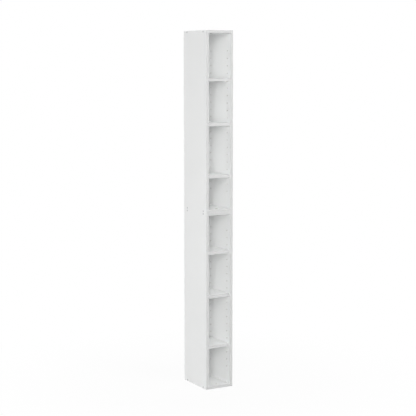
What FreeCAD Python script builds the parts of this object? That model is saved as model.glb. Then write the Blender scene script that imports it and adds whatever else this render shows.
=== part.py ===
import FreeCAD, Part
import math
import os

# Narrow bookshelf: two equal open-fronted modules of faced chipboard, one standing on the other,
# each with three loose shelves on pins. Millimetres, +Z up, front towards -Y,
# origin on the floor at the middle of the base.

# Carcass
unit_width = 170.0            # over the outer faces of the side panels
unit_depth = 260.0            # front edge to rear edge
module_height = 1010.0
board = 15.0                  # thickness of the faced chipboard
bottom_lift = 0.5             # bottom panel above the lower ends of the side panels
band = 0.8                    # edge band on each visible edge
band_round = 0.4              # rounding along the outer edges of a front band

# Back panel, held in a groove near the rear edge of each side panel
back_board = 3.0
back_inset = 9.0              # rear edge of the side panel to the groove
groove_depth = 6.0
groove_play = 0.3             # groove wider than the back panel
back_play = 0.5               # back panel short of the groove floor and of the module's ends

# Drilled lines in the side panels, which the pins, screws and joining holes share
line_setback = 38.0           # front edge or rear edge to the nearer line
hole_rows = 20
hole_end_margin = 111.5       # end of the side panel to the nearest row
pin_hole_d = 7.0
pin_hole_floor = 5.0          # board left behind a pin hole

# Shelf pins
pin_play = 0.05               # round the peg
peg_end_gap = 1.0             # peg short of the hole floor
peg_chamfer = 0.6
tongue_length = 12.0          # from the side panel, under the shelf
tongue_width = 10.0
tongue_thickness = 1.5
tongue_drop = 2.0             # axis of the peg to the top face of the tongue
collar = 1.5                  # part of a disc under the tongue, against the side panel
collar_radius = 5.5

# Loose shelves
shelf_setback = 10.0          # front edge of the carcass to the shelf
shelf_rear_play = 5.0         # shelf to the back panel
shelf_side_play = 1.0         # shelf to each side panel
seat_gap = 0.1                # shelf above its pins
upper_shelf_rows = (15, 9, 2)     # hole row under each shelf, counted from 0 at the module's foot
lower_shelf_rows = (16, 10, 3)

# Carcass screws, one-piece connectors with a hexagon socket
screw_length = 50.0
screw_head_d = 10.0
screw_head_rim = 1.0
screw_head_cone = 1.5
screw_head_sink = 0.2         # head below the outer face
screw_shank_d = 7.0
screw_core_d = 5.0
screw_thread_pitch = 3.0
screw_tip = 5.0
screw_play = 0.05             # round the screw
screw_end_gap = 1.0           # hole beyond the tip
key_flats = 4.0               # hexagon key for the screws and the joining bolts
screw_key_depth = 3.0

# Dowels
dowel_d = 8.0
dowel_length = 30.0
dowel_floor = 5.0             # board left behind a dowel in the side panel
dowel_play = 0.05             # round the dowel
dowel_end_gap = 0.5           # at each end of the dowel
dowel_chamfer = 1.0

# Nails through the back panel
nail_spacing = 60.0
nail_d = 1.4
nail_length = 20.0
nail_head_d = 3.6
nail_head = 0.6
nail_tip = 2.0
nail_play = 0.02              # round the nail

# Joining hardware between the two modules
joining_hole_d = 8.2
sleeve_d = 8.0
sleeve_short = 3.0            # sleeve short of the upper face of the pair of panels
sleeve_floor = 5.0            # closed end of the sleeve under its bore
bolt_d = 6.0
bolt_play = 0.05              # round the bolt in its sleeve
bolt_end_gap = 1.0            # sleeve bore beyond the bolt's tip
cap_d = 15.0                  # head of the bolt and of the sleeve
cap = 2.0
cap_bevel = 1.0
cap_key_depth = 1.5

# Wall bracket under the upper top panel
bracket_x = 22.0              # right of the middle, clear of the joining hole
bracket_width = 20.0
bracket_steel = 2.0
bracket_top_leg = 28.0
bracket_wall_leg = 24.0
bracket_bend = 1.5            # inner radius
bracket_corner = 3.0
wall_hole_d = 6.5
wall_hole_drop = 14.0         # underside of the top panel to the wall hole
back_pass_d = 9.0             # hole in the back panel for the wall screw
bracket_screw_d = 3.5
bracket_screw_grip = 10.0     # into the top panel
bracket_screw_head_d = 7.0
bracket_screw_head = 2.0
bracket_screw_bevel = 1.0
bracket_screw_play = 0.05     # round the screw
bracket_screw_inset = 11.0    # front end of the bracket to the screw
recess_length = 4.0           # cross recess
recess_width = 0.9
recess_depth = 1.2

half_width = unit_width / 2
inner = half_width - board                                  # middle to the inner face of a side panel
front = -unit_depth / 2
rear = unit_depth / 2
back_face = rear - back_inset - groove_play - back_board    # front face of the back panel
line_front = front + line_setback
line_rear = rear - line_setback
lines = (line_front, line_rear)
hole_pitch = (module_height - 2 * hole_end_margin) / (hole_rows - 1)
panel_pair = 2 * board + bottom_lift                        # over the two fixed panels at mid height
sleeve_length = panel_pair - sleeve_short
bolt_length = panel_pair - sleeve_floor - bolt_end_gap
overrun = 5.0                                               # cutters run this far past a face
touch = 0.01                                                # how close a chosen edge lies to its place
left = FreeCAD.Vector(-1, 0, 0)
right = FreeCAD.Vector(1, 0, 0)
forward = FreeCAD.Vector(0, -1, 0)
up = FreeCAD.Vector(0, 0, 1)
down = FreeCAD.Vector(0, 0, -1)
parts = {}


def block(x0, x1, y0, y1, z0, z1):
    return Part.makeBox(x1 - x0, y1 - y0, z1 - z0, FreeCAD.Vector(x0, y0, z0))


def turned(profile):
    # Solid of revolution about Z from (radius, height) points that begin and end on the axis
    points = [FreeCAD.Vector(radius, 0, height) for radius, height in profile]
    face = Part.Face(Part.makePolygon(points + points[:1]))
    return face.revolve(FreeCAD.Vector(0, 0, 0), up, 360)


def hexagon(flats, z0, z1):
    radius = flats / 2 / math.cos(math.pi / 6)
    corners = []
    for corner in range(7):
        angle = corner * math.pi / 3
        corners.append(FreeCAD.Vector(radius * math.cos(angle), radius * math.sin(angle), z0))
    return Part.Face(Part.makePolygon(corners)).extrude(FreeCAD.Vector(0, 0, z1 - z0))


def placed(shape, x, y, z, direction=up):
    # Copy of a shape made along +Z, turned to the direction and moved to the point
    copy = shape.copy()
    turn = FreeCAD.Rotation(up, direction)
    copy.Placement = FreeCAD.Placement(FreeCAD.Vector(x, y, z), turn)
    return copy


def rounded(shape, radius, chosen):
    edges = [edge for edge in shape.Edges if chosen(edge.CenterOfMass, edge.Length)]
    return shape.makeFillet(radius, edges)


def screw_stock():
    shank = screw_shank_d / 2
    core = screw_core_d / 2
    start = board
    turns = int((screw_length - screw_tip - start) / screw_thread_pitch)
    profile = [(0, 0), (screw_head_d / 2, 0), (screw_head_d / 2, screw_head_rim)]
    profile += [(shank, screw_head_rim + screw_head_cone), (shank, start)]
    for turn in range(turns):
        profile.append((core, start + turn * screw_thread_pitch))
        profile.append((shank, start + (turn + 0.5) * screw_thread_pitch))
    profile += [(core, start + turns * screw_thread_pitch), (0, screw_length)]
    return turned(profile).cut(hexagon(key_flats, 0, screw_key_depth))


def screw_cutter():
    shank = screw_shank_d / 2 + screw_play
    head = screw_head_d / 2 + screw_play
    far = screw_length + screw_end_gap
    neck = screw_head_rim + screw_head_cone
    recess = [(0, -overrun), (head, -overrun), (head, screw_head_rim)]
    return turned(recess + [(shank, neck), (shank, far), (0, far)])


def dowel_stock():
    r = dowel_d / 2
    end = dowel_length - dowel_chamfer
    small = r - dowel_chamfer
    first = [(0, 0), (small, 0), (r, dowel_chamfer)]
    return turned(first + [(r, end), (small, dowel_length), (0, dowel_length)])


def dowel_cutter():
    return Part.makeCylinder(dowel_d / 2 + dowel_play, dowel_length + 2 * dowel_end_gap)


def nail_stock():
    r = nail_d / 2
    head = nail_head_d / 2
    shaft = nail_length - nail_tip
    return turned([(0, -nail_head), (head, -nail_head), (head, 0), (r, 0), (r, shaft), (0, nail_length)])


def nail_cutter():
    return Part.makeCylinder(nail_d / 2 + nail_play, nail_length)


def pin_stock():
    # Peg towards -X, tongue towards +X with its top face below the peg's axis
    peg_d = pin_hole_d - 2 * pin_play
    peg_length = board - pin_hole_floor - peg_end_gap
    body = peg_length - peg_chamfer
    peg = Part.makeCylinder(peg_d / 2, body, FreeCAD.Vector(0, 0, 0), left)
    tip = Part.makeCone(peg_d / 2, peg_d / 2 - peg_chamfer, peg_chamfer, FreeCAD.Vector(-body, 0, 0), left)
    disc = Part.makeCylinder(collar_radius, collar, FreeCAD.Vector(0, 0, 0), right)
    lower_disc = disc.common(block(0, collar, -collar_radius, collar_radius, -collar_radius, -tongue_drop))
    half = tongue_width / 2
    underside = -tongue_drop - tongue_thickness
    plate = block(0, tongue_length - half, -half, half, underside, -tongue_drop)
    nose_centre = FreeCAD.Vector(tongue_length - half, 0, underside)
    nose = Part.makeCylinder(half, tongue_thickness, nose_centre)
    return peg.fuse([tip, lower_disc, plate, nose]).removeSplitter()


def cap_profile():
    r = cap_d / 2
    return [(0, -cap), (r - cap_bevel, -cap), (r, -cap + cap_bevel), (r, 0)]


def bolt_stock():
    r = bolt_d / 2
    solid = turned(cap_profile() + [(r, 0), (r, bolt_length), (0, bolt_length)])
    return solid.cut(hexagon(key_flats, -cap, -cap + cap_key_depth))


def sleeve_stock():
    r = sleeve_d / 2
    solid = turned(cap_profile() + [(r, 0), (r, sleeve_length), (0, sleeve_length)])
    bore = Part.makeCylinder(bolt_d / 2 + bolt_play, sleeve_length, FreeCAD.Vector(0, 0, sleeve_floor))
    return solid.cut([bore, hexagon(key_flats, -cap, -cap + cap_key_depth)])


def front_band(x0, x1, y0, z0, z1):
    # Strip whose two long front edges are rounded
    strip = block(x0, x1, y0, y0 + band, z0, z1)
    upright = z1 - z0 > x1 - x0
    length = max(z1 - z0, x1 - x0)
    ends = (x0, x1) if upright else (z0, z1)

    def chosen(centre, edge_length):
        across = centre.x if upright else centre.z
        at_front = abs(centre.y - y0) < touch
        at_end = min(abs(across - end) for end in ends) < touch
        return at_front and at_end and abs(edge_length - length) < touch

    return rounded(strip, band_round, chosen)


screw = screw_stock()
screw_hole = screw_cutter()
dowel = dowel_stock()
dowel_hole = dowel_cutter()
nail = nail_stock()
nail_hole = nail_cutter()
pin = pin_stock()


def row_height(foot, row):
    return foot + hole_end_margin + row * hole_pitch


def fixed_levels(foot):
    # Name and underside height of the two panels fixed between the side panels
    return (("bottom", foot + bottom_lift), ("top", foot + module_height - board))


def screw_places(z):
    # Point and driving direction of the four screws of a fixed panel whose underside is at z
    middle = z + board / 2
    face = half_width - screw_head_sink
    places = []
    for y in lines:
        places.append((-face, y, middle, right))
        places.append((face, y, middle, left))
    return places


def dowel_places(z, end_gap):
    # Point and direction of the two dowels of a fixed panel, moved out by a gap for the holes
    middle = z + board / 2
    start = half_width - dowel_floor + end_gap
    return [(-start, 0, middle, right), (start, 0, middle, left)]


def nail_places(z):
    middle = z + board / 2
    behind = back_face + back_board
    return [(side * nail_spacing / 2, behind, middle, forward) for side in (-1, 1)]


def place_all(shape, places):
    return [placed(shape, *place) for place in places]


def side_panel(foot, side):
    # Core of a side panel, side -1 on the left and 1 on the right, with its holes and groove
    x0, x1 = sorted((side * inner, side * half_width))
    core = block(x0, x1, front + band, rear, foot + band, foot + module_height - band)
    toward = left if side < 0 else right
    cutters = []
    for y in lines:
        for row in range(hole_rows):
            start = side * (inner - overrun)
            depth = overrun + board - pin_hole_floor
            point = FreeCAD.Vector(start, y, row_height(foot, row))
            cutters.append(Part.makeCylinder(pin_hole_d / 2, depth, point, toward))
    for level, z in fixed_levels(foot):
        cutters += place_all(screw_hole, screw_places(z))
        cutters += place_all(dowel_hole, dowel_places(z, dowel_end_gap))
    return core.cut(cutters + [groove(foot)])


def groove(foot):
    # Space of the two grooves, both sides in one block
    reach = inner + groove_depth
    y1 = back_face + back_board + groove_play
    return block(-reach, reach, back_face, y1, foot - overrun, foot + module_height + overrun)


def side_bands(foot, side):
    x0, x1 = sorted((side * inner, side * half_width))
    top = foot + module_height
    strips = [front_band(x0, x1, front, foot, top)]
    for z in (foot, top - band):
        strip = block(x0, x1, front + band, rear, z, z + band)
        strips.append(strip.cut(groove(foot)))
    return Part.makeCompound(strips)


def fixed_panel(z):
    core = block(-inner, inner, front + band, back_face, z, z + board)
    cutters = place_all(screw_hole, screw_places(z))
    cutters += place_all(dowel_hole, dowel_places(z, dowel_end_gap))
    cutters += place_all(nail_hole, nail_places(z))
    for y in lines:
        point = FreeCAD.Vector(0, y, z - overrun)
        cutters.append(Part.makeCylinder(joining_hole_d / 2, board + 2 * overrun, point))
    return core.cut(cutters)


def back_panel(foot):
    reach = inner + groove_depth - back_play
    z0 = foot + back_play
    z1 = foot + module_height - back_play
    sheet = block(-reach, reach, back_face, back_face + back_board, z0, z1)
    cutters = []
    for level, z in fixed_levels(foot):
        cutters += place_all(nail_hole, nail_places(z))
    return sheet.cut(cutters)


def build_module(module, foot):
    parts[module + "_left_side"] = side_panel(foot, -1)
    parts[module + "_right_side"] = side_panel(foot, 1)
    parts[module + "_left_edge_bands"] = side_bands(foot, -1)
    parts[module + "_right_edge_bands"] = side_bands(foot, 1)
    parts[module + "_back_panel"] = back_panel(foot)
    for level, z in fixed_levels(foot):
        name = module + "_" + level
        parts[name + "_panel"] = fixed_panel(z)
        parts[name + "_edge_band"] = front_band(-inner, inner, front, z, z + board)
        parts[name + "_screws"] = Part.makeCompound(place_all(screw, screw_places(z)))
        parts[name + "_dowels"] = Part.makeCompound(place_all(dowel, dowel_places(z, 0)))
        parts[name + "_nails"] = Part.makeCompound(place_all(nail, nail_places(z)))


def build_shelf(name, foot, row):
    axis = row_height(foot, row)
    z = axis - tongue_drop + seat_gap
    reach = inner - shelf_side_play
    y0 = front + shelf_setback
    parts[name] = block(-reach, reach, y0 + band, back_face - shelf_rear_play, z, z + board)
    parts[name + "_edge_band"] = front_band(-reach, reach, y0, z, z + board)
    pins = []
    for y in lines:
        pins.append(placed(pin, -inner, y, axis))
        turned_pin = placed(pin, inner, y, axis)
        turned_pin.rotate(FreeCAD.Vector(inner, y, axis), up, 180)
        pins.append(turned_pin)
    parts[name + "_pins"] = Part.makeCompound(pins)


def build_joining():
    bolt = bolt_stock()
    sleeve = sleeve_stock()
    bottom = module_height - board
    top = bottom + panel_pair
    parts["joining_bolts"] = Part.makeCompound([placed(bolt, 0, y, top, down) for y in lines])
    parts["joining_sleeves"] = Part.makeCompound([placed(sleeve, 0, y, bottom, up) for y in lines])


def build_bracket():
    ceiling = 2 * module_height - board
    x0 = bracket_x - bracket_width / 2
    x1 = bracket_x + bracket_width / 2
    tip = back_face - bracket_top_leg
    foot = ceiling - bracket_wall_leg
    top_leg = block(x0, x1, tip, back_face, ceiling - bracket_steel, ceiling)
    wall_leg = block(x0, x1, back_face - bracket_steel, back_face, foot, ceiling)
    angle = top_leg.fuse(wall_leg).removeSplitter()

    def near(centre, y, z):
        return abs(centre.y - y) < touch and abs(centre.z - z) < touch

    inner_y = back_face - bracket_steel
    inner_z = ceiling - bracket_steel
    angle = rounded(angle, bracket_bend, lambda c, length: near(c, inner_y, inner_z))
    angle = rounded(angle, bracket_bend + bracket_steel, lambda c, length: near(c, back_face, ceiling))
    half_steel = bracket_steel / 2
    angle = rounded(angle, bracket_corner, lambda c, length: near(c, tip, ceiling - half_steel))
    angle = rounded(angle, bracket_corner, lambda c, length: near(c, back_face - half_steel, foot))

    hole_z = ceiling - wall_hole_drop
    before = FreeCAD.Vector(bracket_x, back_face - bracket_steel - overrun, hole_z)
    through = FreeCAD.Vector(0, 1, 0)
    wall_hole = Part.makeCylinder(wall_hole_d / 2, bracket_steel + 2 * overrun, before, through)
    pass_hole = Part.makeCylinder(back_pass_d / 2, back_board + 2 * overrun, before, through)
    screw_y = tip + bracket_screw_inset
    below = ceiling - bracket_steel
    start = FreeCAD.Vector(bracket_x, screw_y, below)
    reach = bracket_steel + bracket_screw_grip
    hole = Part.makeCylinder(bracket_screw_d / 2 + bracket_screw_play, reach, start)
    parts["wall_bracket"] = angle.cut([wall_hole, hole])
    parts["upper_back_panel"] = parts["upper_back_panel"].cut(pass_hole)
    parts["upper_top_panel"] = parts["upper_top_panel"].cut(hole)

    r = bracket_screw_d / 2
    head = bracket_screw_head_d / 2
    low = -bracket_screw_head
    crown = [(0, low), (head - bracket_screw_bevel, low), (head, low + bracket_screw_bevel), (head, 0)]
    stock = turned(crown + [(r, 0), (r, reach - r), (0, reach)])
    half = recess_length / 2
    thin = recess_width / 2
    slot = block(-half, half, -thin, thin, low, low + recess_depth)
    cross = slot.fuse(block(-thin, thin, -half, half, low, low + recess_depth))
    parts["wall_bracket_screw"] = placed(stock.cut(cross), bracket_x, screw_y, below)


build_module("lower", 0)
build_module("upper", module_height)
for number, row in enumerate(upper_shelf_rows):
    build_shelf("shelf_" + str(number + 1), module_height, row)
for number, row in enumerate(lower_shelf_rows):
    build_shelf("shelf_" + str(number + 1 + len(upper_shelf_rows)), 0, row)
build_joining()
build_bracket()

os.makedirs("parts", exist_ok=True)
for name, shape in parts.items():
    shape.exportStep("parts/" + name + ".step")
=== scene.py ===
import bpy
import math
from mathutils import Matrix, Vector


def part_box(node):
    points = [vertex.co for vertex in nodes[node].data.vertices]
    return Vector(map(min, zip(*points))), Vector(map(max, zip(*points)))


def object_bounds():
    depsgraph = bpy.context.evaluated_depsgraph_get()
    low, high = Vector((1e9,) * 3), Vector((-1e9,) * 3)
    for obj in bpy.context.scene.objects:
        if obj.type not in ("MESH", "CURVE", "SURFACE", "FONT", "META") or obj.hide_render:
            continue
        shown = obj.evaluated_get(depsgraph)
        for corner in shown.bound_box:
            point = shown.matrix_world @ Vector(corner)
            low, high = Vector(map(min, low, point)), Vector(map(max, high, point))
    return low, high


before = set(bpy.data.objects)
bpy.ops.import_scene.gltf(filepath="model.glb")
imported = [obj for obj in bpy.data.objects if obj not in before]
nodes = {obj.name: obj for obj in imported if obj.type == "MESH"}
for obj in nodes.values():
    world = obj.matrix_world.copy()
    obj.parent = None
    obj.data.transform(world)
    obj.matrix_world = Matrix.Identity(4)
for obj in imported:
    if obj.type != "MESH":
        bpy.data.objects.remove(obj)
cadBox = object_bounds()
print("frame loaded:", len(nodes), "nodes")


class Wire:  # an output socket; an expression on wires adds Math nodes
    def __init__(self, finish, socket):
        self.finish = finish
        self.socket = socket

    def maths(self, operation, first, second=0.0):
        return self.finish.node("ShaderNodeMath", {"operation": operation}, {0: first, 1: second})

    def __add__(self, other):
        return self.maths("ADD", self, other)

    def __radd__(self, other):
        return self.maths("ADD", other, self)

    def __sub__(self, other):
        return self.maths("SUBTRACT", self, other)

    def __rsub__(self, other):
        return self.maths("SUBTRACT", other, self)

    def __mul__(self, other):
        return self.maths("MULTIPLY", self, other)

    def __rmul__(self, other):
        return self.maths("MULTIPLY", other, self)

    def __gt__(self, other):
        return self.maths("GREATER_THAN", self, other)

    def __lt__(self, other):
        return self.maths("LESS_THAN", self, other)

    def __abs__(self):
        return self.maths("ABSOLUTE", self)


class Finish:  # the nodes of a material or of the world
    def __init__(self, owner):
        owner.use_nodes = True
        self.owner = owner
        self.tree = owner.node_tree
        self.tree.nodes.clear()
        self.place = self.node("ShaderNodeTexCoord", out="Object")
        self.facing = self.node("ShaderNodeTexCoord", out="Normal")

    def node(self, kind, settings=None, sockets=None, out=0):
        made = self.tree.nodes.new(kind)
        for key, value in (settings or {}).items():
            if key == "stops":
                self.setStops(made.color_ramp, value)
            else:
                setattr(made, key, value)
        for key, value in (sockets or {}).items():
            self.feed(made.inputs[key], value)
        return Wire(self, made.outputs[out]) if made.outputs else None

    def setStops(self, ramp, stops):
        while len(ramp.elements) < len(stops):
            ramp.elements.new(1.0)
        for element, (spot, colour) in zip(ramp.elements, stops):
            element.position = spot
            element.color = (*colour, 1.0)

    def feed(self, socket, value):
        if isinstance(value, Wire):
            self.tree.links.new(value.socket, socket)
        elif socket.type == "RGBA":
            socket.default_value = (*value, 1.0)
        else:
            socket.default_value = value

    def along(self, letter, vector=None):
        return self.node("ShaderNodeSeparateXYZ", {}, {"Vector": vector or self.place}, letter)

    def stretch(self, scale):
        return self.node("ShaderNodeMapping", {}, {"Vector": self.place, "Scale": scale})

    def noise(self, scale, detail=2.0, vector=None):
        sockets = {"Vector": vector or self.place, "Scale": scale, "Detail": detail}
        return self.node("ShaderNodeTexNoise", {}, sockets)

    def sine(self, angle):
        return self.node("ShaderNodeMath", {"operation": "SINE"}, {0: angle})

    def mix(self, factor, first, second):
        return self.node("ShaderNodeMix", {"data_type": "RGBA"}, {0: factor, 6: first, 7: second}, 2)

    def background(self):  # 1 for the rays that show what lies behind the object
        rays = ("Is Camera Ray", "Is Glossy Ray", "Is Transmission Ray")
        camera, glossy, through = [self.node("ShaderNodeLightPath", out=ray) for ray in rays]
        return camera + glossy + through > 0.5

    def close(self, colour, dull, heights, metal=0.0):  # heights are in millimetres
        bump = self.node("ShaderNodeBump", {}, {"Height": heights, "Distance": 0.001})
        sockets = {"Base Color": colour, "Roughness": dull, "Metallic": metal, "Normal": bump}
        shader = self.node("ShaderNodeBsdfPrincipled", {}, sockets)
        self.node("ShaderNodeOutputMaterial", {}, {"Surface": shader})
        return self.owner


def newFinish(name):
    return Finish(bpy.data.materials.new(name))


def swing(noise, width):  # noise lies round one half
    return (noise - 0.5) * width


def dress(names, material):
    for name in names:
        nodes[name].material_slots[0].material = material


squareOn = 0.9  # a face looks along an axis where its normal has at least this share of it

# faced chipboard: white melamine film on the broad faces, chips where the board is cut
facedSet = {
    "paleWhite": (0.891, 0.898, 0.894),
    "dimWhite": (0.871, 0.878, 0.874),
    "cloudScale": 7.0,
    "filmDepth": 0.0002,
    "filmRoughness": 0.5,
    "pearlScale": 750.0,
    "pearlHeight": 0.012,
    "pearlSwing": 0.08,  # of the roughness
    "chipLength": 0.0055,
    "chipThickness": 0.0016,
    "chipTones": [(0.0, (0.20, 0.115, 0.055)), (0.4, (0.42, 0.275, 0.15)), (0.75, (0.57, 0.41, 0.25)),
                  (1.0, (0.70, 0.55, 0.38))],
    "chipShare": 0.7,  # of the tone, the fibres have the rest
    "chipHeight": 0.25,
    "fibreScale": 2.2,  # fibres in a chip
    "gapTone": (0.13, 0.075, 0.04),
    "gapWidth": 0.05,  # of a chip
    "cutRoughness": 0.9,
    "dustTone": (0.48, 0.475, 0.46),
    "dustShare": 0.85,
}


def facedBoard(name, letter):
    finish = newFinish(name)
    face = abs(finish.along(letter, finish.facing)) > squareOn
    if letter == "X":  # floors of holes and grooves are cut too
        low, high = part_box("lower_left_side")
        middle = abs(low.x + high.x) / 2
        half = (high.x - low.x) / 2
        face = face * (abs(abs(finish.along("X")) - middle) > half - facedSet["filmDepth"])
    long = 1 / facedSet["chipLength"]
    thin = 1 / facedSet["chipThickness"]
    spread = finish.stretch((thin, long, long) if letter == "X" else (long, long, thin))
    chip = finish.node("ShaderNodeTexVoronoi", {}, {"Vector": spread, "Scale": 1.0}, "Color")
    toEdge = {"feature": "DISTANCE_TO_EDGE"}
    edge = finish.node("ShaderNodeTexVoronoi", toEdge, {"Vector": spread, "Scale": 1.0})
    fibre = finish.noise(facedSet["fibreScale"], 3.0, spread)
    tone = finish.along("X", chip) * facedSet["chipShare"] + fibre * (1 - facedSet["chipShare"])
    raw = finish.node("ShaderNodeValToRGB", {"stops": facedSet["chipTones"]}, {"Fac": tone})
    raw = finish.mix(edge < facedSet["gapWidth"], raw, facedSet["gapTone"])
    drilled = abs(finish.along("Y")) < cadBox[1][1] - facedSet["filmDepth"]  # not the rear edge
    raw = finish.mix(drilled * facedSet["dustShare"], raw, facedSet["dustTone"])
    pearl = finish.noise(facedSet["pearlScale"], 1.0)
    white = finish.mix(finish.noise(facedSet["cloudScale"]), facedSet["dimWhite"], facedSet["paleWhite"])
    colour = finish.mix(face, raw, white)
    dull = facedSet["cutRoughness"] - face * (facedSet["cutRoughness"] - facedSet["filmRoughness"])
    film = face * pearl * facedSet["pearlHeight"]
    cut = (1 - face) * (edge + fibre) * facedSet["chipHeight"]
    return finish.close(colour, dull + swing(pearl, facedSet["pearlSwing"]), film + cut)


# edge band: satin plastic with fine draw lines and a thin glue line, its front painted grey as painted shade,
# white on the ends
bandSet = {
    # painted shade: the front tones are grey to stand in for less light on the front faces
    "paintedShadePale": (0.523, 0.527, 0.525),
    "paintedShadeDim": (0.503, 0.507, 0.505),
    "endWhite": (0.881, 0.888, 0.884),
    "roughness": 0.34,
    "endRoughness": 0.5,
    "upright": (900.0, 900.0, 9.0),  # draw lines to the metre, along X, Y and Z
    "level": (9.0, 900.0, 900.0),
    "drawHeight": 0.010,
    "drawSwing": 0.1,  # of the roughness
    "glueTone": (0.60, 0.58, 0.54),
    "glueWidth": 0.00012,
    "glueMargin": 0.00001,
    "glueDullness": 0.4,  # added to the roughness
}


def edgeBand(name, run, innerFace):
    finish = newFinish(name)
    lines = finish.noise(1.0, 2.0, finish.stretch(bandSet[run]))
    depth = finish.along("Y")
    glue = (depth > innerFace - bandSet["glueWidth"]) * (depth < innerFace + bandSet["glueMargin"])
    end = depth > innerFace
    # painted shade: the band's front is painted grey, the ends stay white
    colour = finish.mix(lines, bandSet["paintedShadeDim"], bandSet["paintedShadePale"])
    colour = finish.mix(end, colour, bandSet["endWhite"])
    colour = finish.mix(glue, colour, bandSet["glueTone"])
    dull = bandSet["roughness"] + end * (bandSet["endRoughness"] - bandSet["roughness"])
    dull = dull + swing(lines, bandSet["drawSwing"]) + glue * bandSet["glueDullness"]
    return finish.close(colour, dull, lines * bandSet["drawHeight"])


# hardboard back: white lacquer in front, brown fibres with a screen print behind
backSet = {
    "paleWhite": (0.88, 0.88, 0.88),
    "dimWhite": (0.86, 0.86, 0.86),
    "cloudScale": 9.0,
    "lacquerRoughness": 0.45,
    "lacquerScale": 600.0,
    "lacquerHeight": 0.012,
    "paleBrown": (0.40, 0.255, 0.145),
    "darkBrown": (0.22, 0.125, 0.065),
    "blotchScale": 14.0,
    "fibreScale": 260.0,
    "fibreShare": 0.65,  # of the tone, the blotches have the rest
    "fibreRoughness": 0.85,
    "fibreSwing": 0.1,  # of the roughness
    "screenPitch": 0.0016,
    "screenHeight": 0.12,
    "screenPart": 0.5,  # the print's part of that height
    "fibrePart": 0.6,  # and the fibres' part
}


def hardboard(name):
    finish = newFinish(name)
    lacquer = finish.along("Y", finish.facing) < -squareOn
    white = finish.mix(finish.noise(backSet["cloudScale"]), backSet["dimWhite"], backSet["paleWhite"])
    fibres = finish.noise(backSet["fibreScale"], 4.0)
    blotch = finish.noise(backSet["blotchScale"], 3.0)
    tone = fibres * backSet["fibreShare"] + blotch * (1 - backSet["fibreShare"])
    brown = finish.mix(tone, backSet["darkBrown"], backSet["paleBrown"])
    colour = finish.mix(lacquer, brown, white)
    turn = 2 * math.pi / backSet["screenPitch"]
    screen = finish.sine(finish.along("X") * turn) * finish.sine(finish.along("Z") * turn)
    rough = screen * backSet["screenPart"] + fibres * backSet["fibrePart"]
    smooth = finish.noise(backSet["lacquerScale"], 1.0)
    heights = (1 - lacquer) * rough * backSet["screenHeight"] + lacquer * smooth * backSet["lacquerHeight"]
    dull = backSet["fibreRoughness"] - lacquer * (backSet["fibreRoughness"] - backSet["lacquerRoughness"])
    return finish.close(colour, dull + swing(fibres, backSet["fibreSwing"]), heights)


# bright hardware: tone, dark tone and roughness of each metal, and the grain they share
metalSet = {
    "zincSteel": ((0.66, 0.66, 0.67), (0.50, 0.50, 0.51), 0.32),
    "pinNickel": ((0.70, 0.67, 0.62), (0.56, 0.53, 0.49), 0.24),
    "nailSteel": ((0.52, 0.52, 0.53), (0.36, 0.36, 0.37), 0.42),
    "cloudScale": 420.0,
    "cloudShare": 0.6,  # of the tone, the grain has the rest
    "cloudSwing": 0.16,  # of the roughness
    "grainScale": 5200.0,
    "grainSwing": 0.08,
    "grainHeight": 0.01,
}


def brightMetal(name):
    pale, dark, roughness = metalSet[name]
    finish = newFinish(name)
    cloud = finish.noise(metalSet["cloudScale"], 3.0)
    grain = finish.noise(metalSet["grainScale"], 2.0)
    tone = cloud * metalSet["cloudShare"] + grain * (1 - metalSet["cloudShare"])
    colour = finish.mix(tone, dark, pale)
    dull = roughness + swing(cloud, metalSet["cloudSwing"]) + swing(grain, metalSet["grainSwing"])
    return finish.close(colour, dull, grain * metalSet["grainHeight"], 1.0)


# beech dowels: long grain with short dark rays
dowelSet = {
    "pale": (0.66, 0.47, 0.29),
    "dark": (0.46, 0.29, 0.16),
    "grain": (90.0, 1700.0, 1700.0),  # to the metre, along X, Y and Z
    "grainHeight": 0.04,
    "rayTone": (0.36, 0.21, 0.11),
    "rays": (500.0, 5200.0, 5200.0),
    "rayLimit": 0.63,
    "rayShare": 0.7,
    "roughness": 0.6,
    "roughnessSwing": 0.2,
}


def beech(name):
    finish = newFinish(name)
    grain = finish.noise(1.0, 3.0, finish.stretch(dowelSet["grain"]))
    rays = finish.noise(1.0, 1.0, finish.stretch(dowelSet["rays"])) > dowelSet["rayLimit"]
    colour = finish.mix(grain, dowelSet["dark"], dowelSet["pale"])
    colour = finish.mix(rays * dowelSet["rayShare"], colour, dowelSet["rayTone"])
    dull = dowelSet["roughness"] + swing(grain, dowelSet["roughnessSwing"])
    return finish.close(colour, dull, grain * dowelSet["grainHeight"])


def ending(*words):
    return [name for name in nodes if name.endswith(words)]


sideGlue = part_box("lower_top_edge_band")[1].y
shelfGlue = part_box("shelf_1_edge_band")[1].y
shelves = [f"shelf_{number}" for number in range(1, 7)]
dress(ending("_side"), facedBoard("facedUpright", "X"))
dress(ending("_bottom_panel", "_top_panel") + shelves, facedBoard("facedLevel", "Z"))
dress(ending("_edge_bands"), edgeBand("uprightBand", "upright", sideGlue))
dress(ending("_bottom_edge_band", "_top_edge_band"), edgeBand("panelBand", "level", sideGlue))
dress([name + "_edge_band" for name in shelves], edgeBand("shelfBand", "level", shelfGlue))
dress(ending("_back_panel"), hardboard("hardboard"))
dress(ending("_bottom_screws", "_top_screws", "wall_bracket", "wall_bracket_screw"), brightMetal("zincSteel"))
dress(ending("_pins", "joining_bolts", "joining_sleeves"), brightMetal("pinNickel"))
dress(ending("_nails"), brightMetal("nailSteel"))
dress(ending("_dowels"), beech("dowelBeech"))
print("finishes given to", len(nodes), "nodes")

# camera of the photograph: turned to the right and dipped a little
cameraSet = {"place": (-3.304, -5.781, 1.836), "turn": 29.74, "dip": 6.976, "lens": 101.9, "sensor": 36.0}


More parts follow.
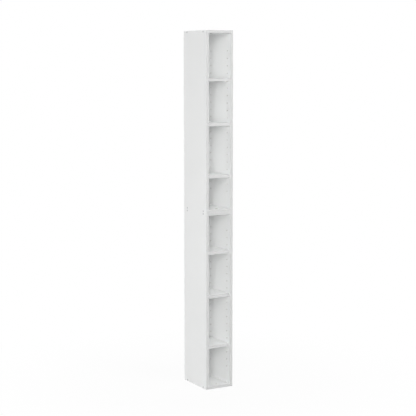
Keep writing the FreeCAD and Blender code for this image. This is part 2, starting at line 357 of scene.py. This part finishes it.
def placeCamera():
    camera = bpy.data.cameras.new("photoCamera")
    camera.sensor_width = cameraSet["sensor"]
    camera.lens = cameraSet["lens"]
    holder = bpy.data.objects.new("photoCamera", camera)
    holder.location = cameraSet["place"]
    holder.rotation_euler = (math.radians(90 - cameraSet["dip"]), 0, -math.radians(cameraSet["turn"]))
    bpy.context.scene.collection.objects.link(holder)
    bpy.context.scene.camera = holder


placeCamera()

# floor: white for the camera, with a faint shadow round the foot
floorSet = {
    "size": 30.0,
    "tone": (0.80, 0.80, 0.80),
    "paleTone": (0.81, 0.81, 0.81),
    "cloudScale": 2.0,
    "shadowShare": 0.05,
    "shadowCore": 0.1,
    "shadowReach": 1.6,
}


def layFloor():
    bpy.ops.object.select_all(action="DESELECT")
    bpy.ops.mesh.primitive_plane_add(size=floorSet["size"], location=(0, 0, 0))
    floor = bpy.context.object
    floor.name = "floor"
    finish = newFinish("paleFloor")
    far = finish.node("ShaderNodeVectorMath", {"operation": "LENGTH"}, {0: finish.place}, "Value")
    fade = {"Value": far, "From Min": floorSet["shadowReach"], "From Max": floorSet["shadowCore"]}
    near = finish.node("ShaderNodeMapRange", {"interpolation_type": "SMOOTHSTEP"}, fade)
    tone = finish.mix(finish.noise(floorSet["cloudScale"]), floorSet["tone"], floorSet["paleTone"])
    matt = finish.node("ShaderNodeBsdfDiffuse", {}, {"Color": tone})
    glow = finish.node("ShaderNodeEmission", {}, {"Color": (1.0, 1.0, 1.0), "Strength": 1.0})
    white = finish.background() * (1 - near * floorSet["shadowShare"])
    surface = finish.node("ShaderNodeMixShader", {}, {0: white, 1: matt, 2: glow})
    finish.node("ShaderNodeOutputMaterial", {}, {"Surface": surface})
    floor.data.materials.append(finish.owner)


layFloor()

# soft studio light: turn from the front (left is minus), distance over the floor, height, width, power
lampSet = {
    "lowFront": {"turn": -30.0, "out": 9.0, "high": 0.54, "wide": 3.6, "power": 350.0},
    "midFront": {"turn": -30.0, "out": 9.0, "high": 3.93, "wide": 3.6, "power": 420.0},
    "highFront": {"turn": -30.0, "out": 9.0, "high": 8.04, "wide": 3.6, "power": 136.0},
    "rightBox": {"turn": 20.0, "out": 9.0, "high": 6.21, "wide": 3.6, "power": 352.0},
    "topBox": {"turn": 0.0, "out": 0.1, "high": 6.0, "wide": 3.0, "power": 58.0},
    "leftBox": {"turn": -110.0, "out": 4.0, "high": 0.8, "wide": 1.5, "power": 32.0},
    "rearBox": {"turn": 140.0, "out": 5.0, "high": 2.0, "wide": 2.0, "power": 120.0},
}
aim = Vector((0, 0, cadBox[1][2] / 2))


def hangLamp(name, turn, out, high, wide, power):
    lamp = bpy.data.lights.new(name, "AREA")
    lamp.size = wide
    lamp.energy = power
    holder = bpy.data.objects.new(name, lamp)
    turn = math.radians(turn)
    holder.location = (math.sin(turn) * out, -math.cos(turn) * out, high)
    holder.rotation_euler = (holder.location - aim).to_track_quat("Z", "Y").to_euler()
    bpy.context.scene.collection.objects.link(holder)


def lightWorld():  # white behind the object and in its gloss, dark to other rays
    studio = Finish(bpy.data.worlds.new("studio"))
    sockets = {"Color": (1.0, 1.0, 1.0), "Strength": studio.background()}
    sky = studio.node("ShaderNodeBackground", {}, sockets)
    studio.node("ShaderNodeOutputWorld", {}, {"Surface": sky})
    bpy.context.scene.world = studio.owner


for lampName, lampValues in lampSet.items():
    hangLamp(lampName, **lampValues)
lightWorld()
bpy.context.scene.view_settings.view_transform = "Standard"
print("camera, floor and light set")
